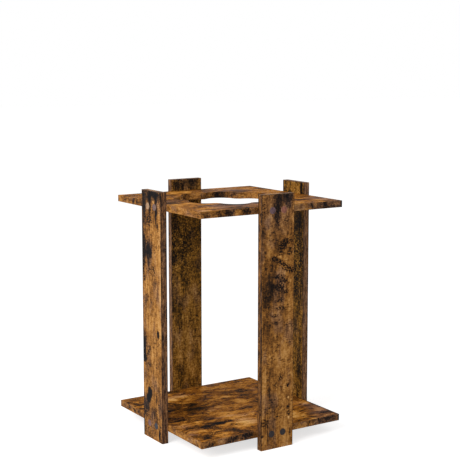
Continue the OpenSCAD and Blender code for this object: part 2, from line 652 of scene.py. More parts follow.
@dataclass(frozen=True)
class PrintedFilm:
    """What the printed faces and the edge bands share: inks, figure and marks under clear melamine.

    Attributes:
        marks: Marks placed one by one.
        washes: Patches of the greyer ink placed one by one.
        seed: Part of the paper that the piece is cut from.
        tone: Darkness of the plain ground, 0 to 1.
        cool: Share of the greyer ink.
        figure: Figure of the wood.
        mark_reach: How deep a mark reaches through the piece, in millimetres.
        palette: Inks of the print.
        gloss: Strength of the melamine's own reflection.
        rough: Its roughness.
        pore_rough: How far the pores change that.
        pore_depth: Depth of the pores in millimetres.
        wash_range: Share of the greyer ink that its patches take and give.
        dash_patches: Patches in which the dashes are thick.
        dash_least: Share of the dashes' depth outside those patches.
        flecks: Small flecks that break up the gritty marks.
    """

    marks: Marks = ()
    washes: Marks = ()
    seed: float = 0.0
    tone: float = 0.4
    cool: float = 0.0
    figure: Figure = RAGGED
    mark_reach: float = 7.0
    palette: Palette = RUSTIC
    gloss: float = 0.03
    rough: float = 0.5
    pore_rough: float = 0.5
    pore_depth: float = 0.12
    wash_range: Numbers = (-0.2, 0.6)
    dash_patches: Patches = Patches((26, 8, 36), detail=1.0, rough=0.5, start=0.46, end=0.66)
    dash_least: float = 0.1
    flecks: Patches = Patches((4.6, 4, 3.6), start=0.43, end=0.57)

    def material(self, name: str, sheet: Sheet) -> bpy.types.Material:
        """Lay the film on a sheet.

        Args:
            name: Name of the material.
            sheet: Where the sheet lies.

        Returns:
            The finished material.
        """
        bench = NodeBench(bpy.data.materials.new(name))
        lane = self._lane(bench, sheet)
        pores = self.figure.pores.draw(bench, lane.place, self.seed + Draw.PORES)
        wash = self.figure.wash.draw(bench, lane.frayed[Fray.RAGS], self.seed + Draw.WASH, *self.wash_range)
        washed = bench.calc("ADD", wash, self.cool)
        grey = bench.calc("ADD", washed, self._marks(lane, self.washes), clamp=True)
        return bench.finish(
            Base_Color=self._colour(lane, self._darkness(lane, pores), grey),
            Roughness=bench.calc("MULTIPLY_ADD", pores, self.pore_rough, self.rough),
            Specular_IOR_Level=self.gloss,
            Normal=bench.bump(pores, self.pore_depth),
        )

    def _lane(self, bench: NodeBench, sheet: Sheet) -> Lane:
        """Lay a sheet's coordinates, plain and frayed in each way.

        Args:
            bench: Where the nodes go.
            sheet: The sheet.

        Returns:
            The coordinates.
        """
        place = sheet.coordinates(bench)
        ways = enumerate(Fray, start=Draw.WARPS)
        frayed = {way: way.value.bend(bench, place, self.seed + draw, place) for draw, way in ways}
        return Lane(bench, place, frayed)

    def _darkness(self, lane: Lane, pores: Socket) -> Input:
        """Add up all that darkens the print.

        Args:
            lane: Coordinates of the sheet.
            pores: The drawn pores.

        Returns:
            The darkness, about 0 to 1.
        """
        bench = lane.bench
        figure = self.figure
        swirled = figure.swirl.bend(bench, lane.place, self.seed + Draw.SWIRL, lane.frayed[Fray.RAGS])
        return bench.total(
            self._ground(lane),
            figure.clouds.draw(bench, swirled, self.seed + Draw.CLOUDS),
            figure.mottle.draw(bench, swirled, self.seed + Draw.MOTTLE),
            figure.threads.draw(bench, swirled, self.seed + Draw.THREADS),
            figure.weave.draw(bench, lane.place, self.seed + Draw.WEAVE),
            pores,
            self._stains(lane),
            self._dashes(lane),
            self._marks(lane, self.marks),
        )

    def _colour(self, lane: Lane, dark: Socket, grey: Socket) -> Socket:
        """Ink the print by its darkness and its share of the greyer ink."""
        return self.palette.ink(lane.bench, dark, grey)

    def _ground(self, lane: Lane) -> Input:
        """Darkness of the plain ground."""
        return self.tone

    def _stains(self, lane: Lane) -> Input:
        """Darkness of stains beside the marks, of which a plain film has none."""
        return 0.0

    def _dashes(self, lane: Lane) -> Socket:
        """Draw short dark dashes across the grain, in patches.

        Args:
            lane: Coordinates of the sheet.

        Returns:
            Their darkness.
        """
        depth = self.figure.dash_depth
        seed = self.seed + Draw.DASH_PATCHES
        dashes = self.figure.dashes.draw(lane.bench, lane.place, self.seed + Draw.DASHES)
        patches = self.dash_patches.draw(lane.bench, lane.place, seed, self.dash_least * depth, depth)
        return lane.bench.calc("MULTIPLY", dashes, patches)

    def _marks(self, lane: Lane, marks: Marks) -> Input:
        """Add up the listed marks, kind by kind.

        Args:
            lane: Coordinates of the sheet that they lie on.
            marks: The marks.

        Returns:
            The change in darkness.
        """
        result: Input = 0.0
        for kind in MarkKind:
            group = tuple(mark for mark in marks if mark.kind is kind)
            if group:
                result = lane.bench.calc("ADD", result, self._group(lane, kind, group))
        return result

    def _group(self, lane: Lane, kind: MarkKind, marks: Marks) -> Input:
        """Add up marks of one kind.

        Args:
            lane: Coordinates of the sheet that they lie on.
            kind: Their kind.
            marks: The marks.

        Returns:
            The change in darkness.
        """
        bench = lane.bench
        frayed = bench.mix(kind.share, lane.place, lane.frayed[kind.fray], Blend.PLACES)
        dark = bench.total(*(self._mark(bench, frayed, mark) for mark in marks))
        if not kind.grit:
            return dark
        clear = 1 - kind.grit
        thick = 1 + kind.grit / 2
        flecks = self.flecks.draw(bench, lane.place, self.seed + Draw.FLECKS, clear, thick)
        return bench.calc("MULTIPLY", dark, flecks)

    def _mark(self, bench: NodeBench, frayed: Socket, mark: Mark) -> Socket:
        """Shade one mark.

        Args:
            bench: Where the nodes go.
            frayed: Coordinates of the sheet, frayed as the mark's kind asks.
            mark: The mark.

        Returns:
            Its darkness, which fades to 0 round it.
        """
        middle = (mark.across, mark.below, mark.along)
        halves = (mark.half_width, self.mark_reach, mark.half_length)
        local = bench.place(frayed, middle, (0, math.radians(mark.tilt), 0), halves, into=True)
        reach = bench.vector("LENGTH", local, output="Value")
        return bench.fade(reach, mark.kind.inner, mark.kind.outer, mark.depth, 0.0)


@dataclass(frozen=True)
class FacePrint(PrintedFilm):
    """Print on both faces of a board, which differ.

    Attributes:
        inner_palette: Inks of the face behind the printed one.
        inner_tone: Darkness that the face behind adds to the ground.
        stains: Darkness of the stains that fall by chance on the printed face.
        inner_stains: The same on the face behind it.
        stain_patches: Patches in which those stains fall.
        ink_change: Depths between which the inks change over, in millimetres.
        tone_change: Depths between which the darkness changes over.
    """

    inner_palette: Palette = RUSTIC
    inner_tone: float = 0.0
    stains: float = 0.1
    inner_stains: float = 0.4
    stain_patches: Patches = Patches((24, 8, 62), rough=0.55, start=0.54, end=0.68)
    ink_change: Numbers = (6.0, 10.0)
    tone_change: Numbers = (3.0, 12.0)

    def _colour(self, lane: Lane, dark: Socket, grey: Socket) -> Socket:
        """Ink each face from its own palette.

        Args:
            lane: Coordinates of the sheet.
            dark: Darkness of the print.
            grey: Share of the greyer ink.

        Returns:
            The colour.
        """
        outer = self.palette.ink(lane.bench, dark, grey)
        inner = self.inner_palette.ink(lane.bench, dark, grey)
        return lane.bench.mix(lane.bench.fade(lane.depth(), *self.ink_change), outer, inner)

    def _ground(self, lane: Lane) -> Input:
        """Darkness of the plain ground on both faces."""
        return lane.bench.fade(lane.depth(), *self.tone_change, self.tone, self.tone + self.inner_tone)

    def _stains(self, lane: Lane) -> Input:
        """Let stains fall by chance, by each face's own measure.

        Args:
            lane: Coordinates of the sheet.

        Returns:
            Their darkness.
        """
        chance = self.stain_patches.draw(lane.bench, lane.frayed[Fray.THREADS], self.seed + Draw.STAINS)
        measure = lane.bench.fade(lane.depth(), *self.tone_change, self.stains, self.inner_stains)
        return lane.bench.calc("MULTIPLY", chance, measure)


@dataclass(frozen=True)
class PostBandPrint(PrintedFilm):
    """Print on a post's edge band, darker along the glue lines at both faces of the post.

    Attributes:
        thick: Thickness of the post in millimetres.
        glue_dark: How far the glue lines darken the band.
        outer_line: Depths between which the line at the outer face fades, in millimetres.
        inner_line: The same at the inner face, measured back from it.
    """

    thick: float = 16.0
    glue_dark: float = 0.14
    outer_line: Numbers = (0.4, 3.2)
    inner_line: Numbers = (2.6, 0.4)

    def _ground(self, lane: Lane) -> Input:
        """Darkness of the ground, with the glue lines.

        Args:
            lane: Coordinates of the sheet.

        Returns:
            The darkness.
        """
        start, end = (self.thick - back for back in self.inner_line)
        outer = lane.bench.fade(lane.depth(), *self.outer_line, self.tone + self.glue_dark, self.tone)
        inner = lane.bench.fade(lane.depth(), start, end, 0.0, self.glue_dark)
        return lane.bench.calc("ADD", outer, inner)


@dataclass(frozen=True)
class BoardBandPrint(PrintedFilm):
    """Print on a board's edge band, which carries on from the board's face.

    Attributes:
        edges: Marks on the strips of some sides, from left to right.
        reach: Distance from the middle of the board to its edge, in metres.
    """

    edges: Edges = ()
    reach: float = 0.0

    def _stains(self, lane: Lane) -> Input:
        """Lay each side's own marks.

        Args:
            lane: Coordinates of the sheet.

        Returns:
            Their darkness.
        """
        result: Input = 0.0
        for side, marks in self.edges:
            strip = self._lane(lane.bench, Sheet(side.across, side.inward, Z, -self.reach))
            result = lane.bench.calc("ADD", result, self._marks(strip, marks))
        return result


@dataclass(frozen=True)
class CoverFilm:
    """Printed film of the stick-on screw covers: a tone for each disc, grain down it and a pale rim.

    The pale rim is partly rubbed through to the paper and partly a painted highlight.

    Attributes:
        tones: Screen colours of the left and the right disc, as seen from outside.
        wear_and_highlight: How far the pale rim shows, 0 to 1: rubbed through to the paper, and a painted
            highlight.
        seed: Part of the film that the discs are punched from.
        pitch: Distance between the discs' middles in millimetres.
        rim: Radii between which the pale rim sets in, in millimetres.
        grain: Grain down the film.
        grain_tones: Shades of the grain, by its noise.
        grain_depth: Depth of the grain in millimetres.
        specks: Dark specks.
        specks_seed: Shift from the grain's part of the noise to theirs.
        speck_share: Strength of the specks.
        speck_tone: Screen colour of the specks.
        paper: Screen colour of the pale rim, both the bare paper and the painted highlight.
        pale_rim: Where the noise of the specks lets the pale rim, rubbed paper and painted highlight, show.
        gloss: Strength of the film's own reflection.
        rough: Its roughness.
        speck_rough: How far the specks roughen it.
    """

    tones: tuple[Numbers, Numbers]
    wear_and_highlight: float = 0.4
    seed: float = 0.0
    pitch: float = 32.0
    rim: Numbers = (7.3, 8.0)
    grain: Noise = Noise((2.6, 2.6, 13))
    grain_tones: Stops = ((0.34, (138, 132, 134)), (0.5, (222, 218, 216)), (0.66, (255, 255, 255)))
    grain_depth: float = 0.06
    specks: Patches = Patches((1.2, 1.2, 3), start=0.58, end=0.72)
    specks_seed: float = 5.0
    speck_share: float = 0.4
    speck_tone: Numbers = (46, 36, 34)
    paper: Numbers = (196, 160, 128)
    pale_rim: Numbers = (0.3, 0.6)
    gloss: float = 0.2
    rough: float = 0.36
    speck_rough: float = 0.25

    def material(self, name: str, across: Vector, height: float) -> bpy.types.Material:
        """Lay the film on two discs.

        Args:
            name: Name of the material.
            across: Direction from the left disc to the right one.
            height: Height of the discs' middles in metres.

        Returns:
            The finished material.
        """
        bench = NodeBench(bpy.data.materials.new(name))
        place = bench.place(bench.position(), (0, 0, -height * MM_PER_M), scale=IN_MM)
        where = bench.vector("DOT_PRODUCT", place, tuple(across), output="Value")
        left, right = (srgb(*tone) for tone in self.tones)
        grain = self.grain.read(bench, place, self.seed)
        specks = self.specks.read(bench, place, self.seed + self.specks_seed)
        dark = bench.fade(specks, self.specks.start, self.specks.end, 0.0, self.speck_share)
        # The pale rim, partly rubbed paper and partly a painted highlight, shows in patches round each disc.
        patchy = bench.fade(specks, *self.pale_rim, self.wear_and_highlight / 3, self.wear_and_highlight)
        pale_rim = bench.calc("MULTIPLY", self._rim(bench, place, where), patchy)
        tone = bench.mix(bench.calc("GREATER_THAN", where, 0.0), left, right)
        tone = bench.mix(1.0, tone, bench.ramp(grain, self.grain_tones), mode="MULTIPLY")
        tone = bench.mix(dark, tone, srgb(*self.speck_tone))
        tone = bench.mix(pale_rim, tone, srgb(*self.paper))
        return bench.finish(
            Base_Color=tone,
            Roughness=bench.calc("MULTIPLY_ADD", specks, self.speck_rough, self.rough),
            Specular_IOR_Level=self.gloss,
            Normal=bench.bump(grain, self.grain_depth),
        )

    def _rim(self, bench: NodeBench, place: Socket, where: Socket) -> Socket:
        """Find the rim of both discs.

        Args:
            bench: Where the nodes go.
            place: Place in millimetres, with the discs' middles at height 0.
            where: Place along the line through both middles.

        Returns:
            0 inside, rising to 1 at the rim.
        """
        aside = bench.calc("SUBTRACT", bench.calc("ABSOLUTE", where), self.pitch / 2)
        above = bench.node("SeparateXYZ", place).outputs["Z"]
        squares = bench.calc("ADD", bench.calc("POWER", aside, 2.0), bench.calc("POWER", above, 2.0))
        return bench.fade(bench.calc("SQRT", squares), *self.rim)


@dataclass(frozen=True)
class ZincPlate:
    """Bright zinc plate on the connecting screws, with faint yellow passivation and tool marks.

    Attributes:
        clouds: Clouds of passivation.
        tones: Screen colours of the clouds, by their noise.
        rough: Least roughness of the plate.
        cloud_rough: How far the clouds roughen it.
        scratches: Tool marks.
        scratch_seed: Their part of the noise.
        scratch_depth: Their depth in millimetres.
    """

    clouds: Noise = Noise((4, 4, 4))
    tones: Stops = ((0.3, (176, 174, 168)), (0.55, (198, 194, 182)), (0.75, (206, 196, 168)))
    rough: float = 0.2
    cloud_rough: float = 0.25
    scratches: Noise = Noise((0.3, 0.3, 0.3), 2.0, 0.5)
    scratch_seed: float = 4.0
    scratch_depth: float = 0.02

    def material(self, name: str) -> bpy.types.Material:
        """Build the plating.

        Args:
            name: Name of the material.

        Returns:
            The finished material.
        """
        bench = NodeBench(bpy.data.materials.new(name))
        place = bench.place(bench.position(), scale=IN_MM)
        clouds = self.clouds.read(bench, place)
        scratches = self.scratches.read(bench, place, self.scratch_seed)
        return bench.finish(
            Base_Color=bench.ramp(clouds, self.tones),
            Metallic=1.0,
            Roughness=bench.calc("MULTIPLY_ADD", clouds, self.cloud_rough, self.rough),
            Normal=bench.bump(scratches, self.scratch_depth),
        )


def dress(node: str, material: bpy.types.Material) -> None:
    """Put a finish on a piece of the frame.

    Args:
        node: Name of the piece.
        material: Its finish.
    """
    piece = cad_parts[node]
    for slot in piece.material_slots:
        slot.material = material
    if not piece.material_slots:
        piece.data.materials.append(material)
    log.info("%s: %s", node, material.name)


# Marks on a post are placed from its middle line and up from the floor, and those on a board from its
# middle, to the back and to the right. Marks on an edge are placed from its own middle, to the right and
# up, and those in the opening from the middle of the board, to the right, up and to the back.
LEFT_MARKS = (
    Mark(6, 592, 52, 18, 0.27),
    Mark(-28, 578, 24, 32, 0.18, SHADE),
    Mark(-36, 556, 7, 40, 0.4),
    Mark(-6, 572, 6, 28, 0.36),
    Mark(24, 562, 7, 38, 0.46),
    Mark(14, 590, 22, 9, 0.34),
    Mark(38, 586, 8, 18, 0.2),
    Mark(-45, 300, 1.6, 330, 0.26, STREAK),
    Mark(31, 518, 2.5, 16, 0.22, STREAK),
    Mark(-8, 534, 12, 14, 0.12),
    Mark(40, 380, 6, 200, -0.14, LIGHT),
    Mark(-16, 532, 22, 20, 0.22, CHIP),
    Mark(8, 540, 22, 24, 0.1, SHADE),
    Mark(9, 577, 6, 12, -0.2, LIGHT),
    Mark(22, 400, 20, 120, -0.08, LIGHT),
    Mark(-13, 455, 16, 30, 0.66),
    Mark(-36, 452, 10, 44, 0.5),
    Mark(-41, 500, 4, 40, 0.3, STREAK),
    Mark(-42, 400, 3, 60, 0.24, STREAK),
    Mark(-5, 497, 3, 4, 0.3, CHIP),
    Mark(-34, 488, 6, 8, 0.3, CHIP),
    Mark(6, 417, 5, 8, 0.26, CHIP),
    Mark(-16, 408, 18, 24, 0.12, SHADE),
    Mark(-34, 388, 5, 7, 0.4, CHIP),
    Mark(-22, 334, 11, 22, 0.2),
    Mark(28.5, 262, 5.5, 9.5, 1.0, KNOT),
    Mark(-38, 226, 9, 40, 0.6),
    Mark(-36, 192, 9, 9, 0.5, KNOT),
    Mark(-15, 218, 10, 16, 0.22, CHIP),
    Mark(-10, 182, 14, 8, 0.16, CHIP),
    Mark(20, 178, 5, 5, 0.2, CHIP),
    Mark(-13, 112, 11.5, 14, 0.66, KNOT),
    Mark(-19, 98, 12, 12, 0.4, KNOT),
    Mark(-30, 86, 15, 22, 0.24, SHADE),
    Mark(-30, 66, 14, 22, 0.26, CHIP),
    Mark(0, 66, 22, 16, 0.12, SHADE),
    Mark(39, 96, 6, 24, 0.16, SHADE),
    Mark(-43, 48, 4, 64, 0.4, STREAK),
    Mark(31.8, 16, 4, 15, 0.55, KNOT),
    Mark(12, 17, 6, 5, 0.26, CHIP),
)

FRONT_MARKS = (
    Mark(-1, 584, 15, 30, 0.22),
    Mark(28, 588, 22, 20, 0.28, SHADE),
    Mark(-2, 548, 10, 36, 0.32),
    Mark(-26, 574, 22, 40, 0.1, SHADE),
    Mark(-26, 566, 14, 30, -0.06, LIGHT),
    Mark(-38, 500, 10, 50, 0.08, SHADE),
    Mark(26, 516, 22, 46, 0.12, SHADE),
    Mark(4, 494, 34, 30, 0.06, SHADE),
    Mark(2, 590, 4, 20, 0.16, STREAK),
    Mark(22, 488, 19, 8, 0.46, CHIP, -14),
    Mark(12, 478, 13, 9, 0.4, CHIP),
    Mark(6, 467, 8, 10, 0.4, CHIP),
    Mark(33, 464, 8, 12, 0.44, CHIP),
    Mark(-8, 450, 13, 7, 0.48, CHIP),
    Mark(6, 441, 12, 7, 0.46, CHIP, 20),
    Mark(24, 429, 15, 10, 0.5, CHIP, 24),
    Mark(37, 421, 8, 9, 0.44, CHIP),
    Mark(14, 433, 3, 3, -0.4, CHIP),
    Mark(3, 454, 9, 3, -0.2, CHIP),
    Mark(-36, 432, 8, 10, 0.14, CHIP),
    Mark(-28, 392, 20, 56, 0.16, SHADE),
    Mark(-24, 372, 18, 36, 0.08, SHADE),
    Mark(-41, 385, 3, 60, 0.1, STREAK),
    Mark(6, 408, 18, 6, 0.38, CHIP),
    Mark(12, 398, 17, 5.5, 0.38, CHIP),
    Mark(6, 384, 22, 26, 0.16, SHADE),
    Mark(5, 384, 13, 11, 0.42, CHIP),
    Mark(24, 372, 9, 5, 0.28, CHIP),
    Mark(6, 352, 17, 4.5, 0.26, CHIP),
    Mark(-30, 296, 17, 56, 0.12, SHADE),
    Mark(-40, 290, 3, 40, 0.12, STREAK),
    Mark(6, 334, 16, 5, 0.28, CHIP),
    Mark(-4, 318, 18, 4, 0.26, CHIP),
    Mark(-8, 300, 11, 4, 0.26, CHIP),
    Mark(24, 232, 9, 24, -0.12, LIGHT),
    Mark(-8, 146, 12, 26, -0.16, LIGHT),
    Mark(-36, 150, 8, 50, -0.14, LIGHT),
    Mark(34, 350, 8, 60, -0.1, LIGHT),
    Mark(-18, 128, 26, 40, 0.12, SHADE),
    Mark(12, 110, 20, 50, -0.07, LIGHT),
    Mark(8, 170, 8, 9, 0.26, CHIP, 25),
    Mark(-3, 152, 8, 9, 0.22, CHIP),
    Mark(34.5, 114, 2.5, 38, 0.22, STREAK),
    Mark(30, 148, 5, 6, 0.48, CHIP),
    Mark(31, 96, 5, 7, 0.42, CHIP),
    Mark(32, 80, 5, 7, 0.42, CHIP),
    Mark(32, 118, 3, 4, -0.5, KNOT),
    Mark(33, 70, 3, 3.5, -0.4, KNOT),
    Mark(-34, 66, 13, 11, 0.3, CHIP),
    Mark(-40.7, 35, 4, 4, 0.34, KNOT),
    Mark(-27, 56, 1.6, 46, 0.2, STREAK),
    Mark(37, 34, 1.6, 20, 0.25, STREAK),
)

RIGHT_MARKS = (
    Mark(-24, 506, 60, 36, 0.2),
    Mark(-20, 400, 60, 90, 0.26, CHIP),
    Mark(-16, 330, 14, 26, 0.1, CHIP),
    Mark(-30, 110, 8, 26, 0.1),
    Mark(-33, 590, 5, 40, 0.46),
    Mark(8, 588, 22, 24, -0.08, LIGHT),
)

BACK_MARKS = (
    Mark(24, 586, 22, 22, 0.36),
    Mark(-20, 588, 16, 18, 0.28),
    Mark(20, 440, 60, 110, 0.2, CHIP),
    Mark(38, 396, 12, 24, 0.26),
    Mark(30, 500, 10, 30, 0.14),
    Mark(-30, 500, 12, 34, 0.14),
    Mark(10, 160, 50, 90, -0.1, LIGHT),
)

BASE_MARKS = (
    Mark(-99, -82, 10, 34, 0.42),
    Mark(-104, -128, 8, 18, 0.3),
    Mark(-92, -58, 12, 12, 0.24, CHIP),
    Mark(-127, -60, 15, 15, 0.3, CHIP),
    Mark(-173, -78, 8, 20, 0.36),
    Mark(-176, -172, 11, 14, 0.3),
    Mark(-33, -160, 8, 20, 0.44),
    Mark(-112, -120, 13, 26, 0.26, CHIP),
    Mark(-154, -136, 13, 22, 0.26, CHIP),
    Mark(-168, -158, 8, 14, 0.2, CHIP),
    Mark(44, -141, 6, 15, 0.34),
    Mark(68, -70, 12, 26, 0.24),
    Mark(28, -96, 44, 60, 0.12, SHADE),
    Mark(-60, -10, 60, 90, -0.06, LIGHT),
    Mark(-120, -18, 26, 34, -0.2, LIGHT),
    Mark(-62, -129, 6, 14, -0.3, LIGHT),
    Mark(-128, -34, 26, 34, -0.17, LIGHT),
    Mark(-142, -60, 14, 24, -0.2, LIGHT),
    Mark(-84, 180, 13, 16, -0.22, LIGHT),
    Mark(-140, 106, 26, 26, -0.16, LIGHT),
    Mark(-147, 184, 18, 22, -0.22, LIGHT),
    Mark(134, -76, 18, 46, -0.3, LIGHT),
    Mark(150, -184, 22, 16, -0.18, LIGHT),
    Mark(142, -54, 4, 16, -0.2, LIGHT),
    Mark(-148, -126, 12, 26, -0.16, LIGHT),
    Mark(144, -183, 9, 10, 0.34, KNOT),
    Mark(130, -176, 6, 12, 0.3, KNOT),
    Mark(101, -190, 8, 8, 0.34, KNOT),
    Mark(116, -168, 12, 22, -0.12, LIGHT),
    Mark(-90, 128, 7, 12, 0.3),
    Mark(-160, 104, 22, 22, -0.22, LIGHT),
    Mark(-120, 112, 16, 20, -0.12, LIGHT),
    Mark(-120, 190, 70, 34, 0.12, SHADE),
    Mark(-110, 198, 96, 6, 0.44, STREAK),
    Mark(-186, 106, 8, 9, 0.36),
)

TOP_MARKS = (
    Mark(-14, -163, 9, 26, 0.24),
    Mark(-116, -66, 12, 26, 0.2),
    Mark(-128, -96, 22, 44, 0.12),
    Mark(-52, -142, 12, 20, -0.18, LIGHT),
    Mark(-150, -150, 14, 30, -0.16, LIGHT),
    Mark(-172, 84, 16, 26, -0.14, LIGHT),
    Mark(-110, 178, 70, 34, 0.1, SHADE),
    Mark(-154, 168, 40, 30, -0.2, LIGHT),
    Mark(150, 120, 24, 60, 0.06, SHADE),
)

OPENING_MARKS = (
    Mark(55, 0, 26, 14, 0.24, SHADE, below=130),
    Mark(48, -5, 16, 6, 0.3, below=136),
    Mark(122, -7, 9, 6, 0.3, KNOT, below=100),
)

LEFT_WASHES = (
    Mark(0, 588, 50, 40, 0.5, SHADE),
    Mark(-24, 80, 24, 50, 0.4, SHADE),
)

FRONT_WASHES = (
    Mark(0, 562, 54, 74, 0.75, SHADE),
    Mark(-20, 400, 30, 60, 0.3, SHADE),
    Mark(24, 140, 18, 110, -0.3, SHADE),
)

RIGHT_WASHES = (Mark(0, 585, 60, 40, -0.5, SHADE),)

BACK_WASHES = (
    Mark(10, 200, 60, 150, 0.3, SHADE),
    Mark(0, 592, 60, 30, 0.9, SHADE),
)

END_MARKS = (Mark(-8, 0, 26, 24, -0.3, LIGHT),)

BASE_WASHES = (
    Mark(-180, 192, 88, 76, 0.9, KNOT),
    Mark(-100, 196, 60, 30, 0.5, SHADE),
    Mark(-130, -184, 76, 20, 0.5, SHADE),
    Mark(135, -163, 14, 22, 0.6, SHADE),
    Mark(-66, -186, 26, 16, 0.4, SHADE),
)

TOP_WASHES = (
    Mark(-120, 186, 84, 56, 0.8, SHADE),
    Mark(-14, -163, 50, 34, 0.6, SHADE),
    Mark(-158, -60, 46, 130, 0.6, SHADE),
    Mark(-125, -105, 34, 50, 0.9, SHADE),
    Mark(130, 90, 60, 110, 0.7, SHADE),
)

BASE_EDGE_WASHES = (Mark(172, 0, 54, 60, 0.8, KNOT), Mark(-184, 0, 20, 60, 0.4, SHADE))

TOP_EDGE_WASHES = (Mark(172, 0, 70, 60, 0.8, KNOT),)

BASE_EDGES = (
    (
        Side.FRONT,
        (
            Mark(0, 0, 300, 60, 0.03, SHADE),
            Mark(-172, -2, 14, 9, 0.22),
            Mark(-140, 0, 10, 12, -0.08, LIGHT),
            Mark(-112, 0, 18, 10, 0.3),
            Mark(-74, 2, 20, 10, 0.32),
            Mark(80, 0, 22, 14, -0.12, LIGHT),
            Mark(104, -2, 6, 6, 0.32),
            Mark(136, -2, 6, 10, 0.24),
            Mark(161, 3, 9, 6, 0.2),
            Mark(158, 0, 34, 14, 0.1, SHADE),
            Mark(195.5, 0, 2.5, 14, 0.4, STREAK),
        ),
    ),
    (
        Side.LEFT,
        (
            Mark(-182, 0, 14, 14, -0.06, LIGHT),
            Mark(-150, 2, 8, 5, 0.26, STREAK, 30),
            Mark(-124, 0, 10, 5, 0.28, STREAK, 30),
            Mark(-96, 0, 16, 6, 0.2, STREAK, 20),
            Mark(-60, 0, 16, 10, 0.18),
            Mark(120, 0, 60, 14, -0.06, LIGHT),
            Mark(180, -2, 5, 6, 0.2, CHIP),
        ),
    ),
)

TOP_EDGES = (
    (
        Side.FRONT,
        (
            Mark(0, 0, 300, 60, 0.04, SHADE),
            Mark(-182, -2, 9, 9, 0.22),
            Mark(-150, 0, 10, 9, 0.22),
            Mark(-122, 0, 14, 10, 0.28),
            Mark(-100, 0, 8, 12, -0.12, LIGHT),
            Mark(-75, 0, 16, 10, 0.3),
            Mark(64, 0, 28, 14, -0.2, LIGHT),
            Mark(107, 4, 7, 6, 0.34),
            Mark(128, 0, 7, 10, 0.16),
            Mark(146, -2, 7, 10, 0.22),
            Mark(168, 0, 5, 10, 0.16),
            Mark(160, 0, 40, 14, 0.11, SHADE),
            Mark(195.5, 0, 2.5, 14, 0.4, STREAK),
        ),
    ),
    (
        Side.LEFT,
        (
            Mark(-184, 0, 10, 14, -0.06, LIGHT),
            Mark(-160, 2, 5, 6, 0.2, CHIP),
            Mark(-139, -1, 5, 9, 0.26, STAIN, 12),
            Mark(-118, 2, 7, 7, 0.28, STAIN, 20),
            Mark(-97, -2, 9, 6, 0.28, STAIN, 16),
            Mark(-74, 0, 12, 6, 0.24, STAIN, 10),
            Mark(130, 0, 60, 14, -0.04, LIGHT),
            Mark(186, -2, 5, 6, 0.2, CHIP),
        ),
    ),
)


def span(node: str, direction: Vector) -> tuple[float, float]:
    """Least and greatest place of a piece along an axis, in metres."""
    low, high = sorted(corner.dot(direction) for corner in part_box(node))
    return low, high


@dataclass
class Upright:
    """One post with its edge band, and two covers at each board.

    Attributes:
        side: The side of the rack that it stands on.
        face: Print of both its faces, with the marks on the outer one.
        band: Print of its edge band, with the marks from the middle of its top end.
        inner_marks: Marks on its inner face.
        inner_washes: Patches of the greyer ink there.
        top_covers: Film of the two upper covers.
        base_covers: Film of the two lower covers.
    """

    side: Side
    face: FacePrint
    band: PostBandPrint
    inner_marks: Marks = ()
    inner_washes: Marks = ()
    top_covers: CoverFilm = CoverFilm(((110, 82, 74), (120, 84, 66)))
    base_covers: CoverFilm = CoverFilm(((60, 50, 50), (56, 48, 50)), wear_and_highlight=0.08)

    @property
    def node(self) -> str:
        """Name of the post in the frame."""
        return f"{self.side.label}_post"

    def dress(self) -> None:
        """Put the finishes on the post and on what is fixed to it."""
        outer, inner = span(self.node, self.side.inward)
        thick = (inner - outer) * MM_PER_M
        height = span(self.node, Z)[1] * MM_PER_M
        sheet = Sheet(self.side.across, self.side.inward, Z, outer)
        face = replace(
            self.face,
            marks=self.face.marks + moved(self.inner_marks, below=thick),
            washes=self.face.washes + moved(self.inner_washes, below=thick),
        )
        band = replace(self.band, marks=moved(self.band.marks, height, thick / 2), thick=thick)
        dress(self.node, face.material(f"{self.node}_print", sheet))
        dress(f"{self.node}_band", band.material(f"{self.node}_band_print", sheet))
        self._dress_covers(Level.TOP, self.top_covers)
        self._dress_covers(Level.BASE, self.base_covers)

    def _dress_covers(self, level: Level, film: CoverFilm) -> None:
        """Put a film on the two covers at one board.

        Args:
            level: Where the board is.
            film: The film.
        """
        node = f"{self.side.label}_{level.label}_covers"
        film = replace(film, seed=self.face.seed + level.value)
        dress(node, film.material(f"{node}_film", self.side.across, sum(span(node, Z)) / 2))


@dataclass
class Board:
    """One square board with its edge band.

    Attributes:
        level: Where the board is.
        face: Print of both its faces, with the marks from the middle.
        band: Print of its edge band, with the marks from the middle of each side and the washes from the
            middle of the front.
    """

    level: Level
    face: FacePrint
    band: BoardBandPrint

    @property
    def node(self) -> str:
        """Name of the board in the frame."""
        return f"{self.level.label}_board"

    @property
    def middle(self) -> float:
        """Height of the middle of its edge in millimetres."""
        return sum(span(self.node, Z)) / 2 * MM_PER_M

    def dress(self) -> None:
        """Put the finishes on the board and its edge band."""
        edge = f"{self.level.label}_edge_band"
        reach = span(edge, X)[1]
        band = replace(
            self.band,
            washes=moved(self.band.washes, self.middle, -reach * MM_PER_M),
            edges=tuple((side, moved(marks, self.middle)) for side, marks in self.band.edges),
            reach=reach,
        )
        sheet = Sheet(Y, Z, X, span(self.node, Z)[1])
        dress(self.node, self.face.material(f"{self.node}_print", sheet))
        dress(edge, band.material(f"{edge}_print", UPRIGHT_SHEET))


@dataclass
class OpenBoard(Board):
    """The top board, with a second band round its scalloped opening.

    Attributes:
        rim: Print of that band, with the marks from the middle of the board.
    """

    rim: BoardBandPrint

    def dress(self) -> None:
        """Put the finishes on the board and both its bands."""
        super().dress()
        band = replace(self.rim, marks=moved(self.rim.marks, self.middle))
        dress("opening_edge_band", band.material("opening_edge_band_print", UPRIGHT_SHEET))


@dataclass
class ScrewSet:
    """The connecting screws, two through each post into each board.

    Attributes:
        plate: Their finish.
    """

    plate: ZincPlate = ZincPlate()

    def dress(self) -> None:
        """Put one plating on all the screws."""
        zinc = self.plate.material("zinc_plate")
        for side, level in product(Side, Level):
            dress(f"{side.label}_{level.label}_screws", zinc)


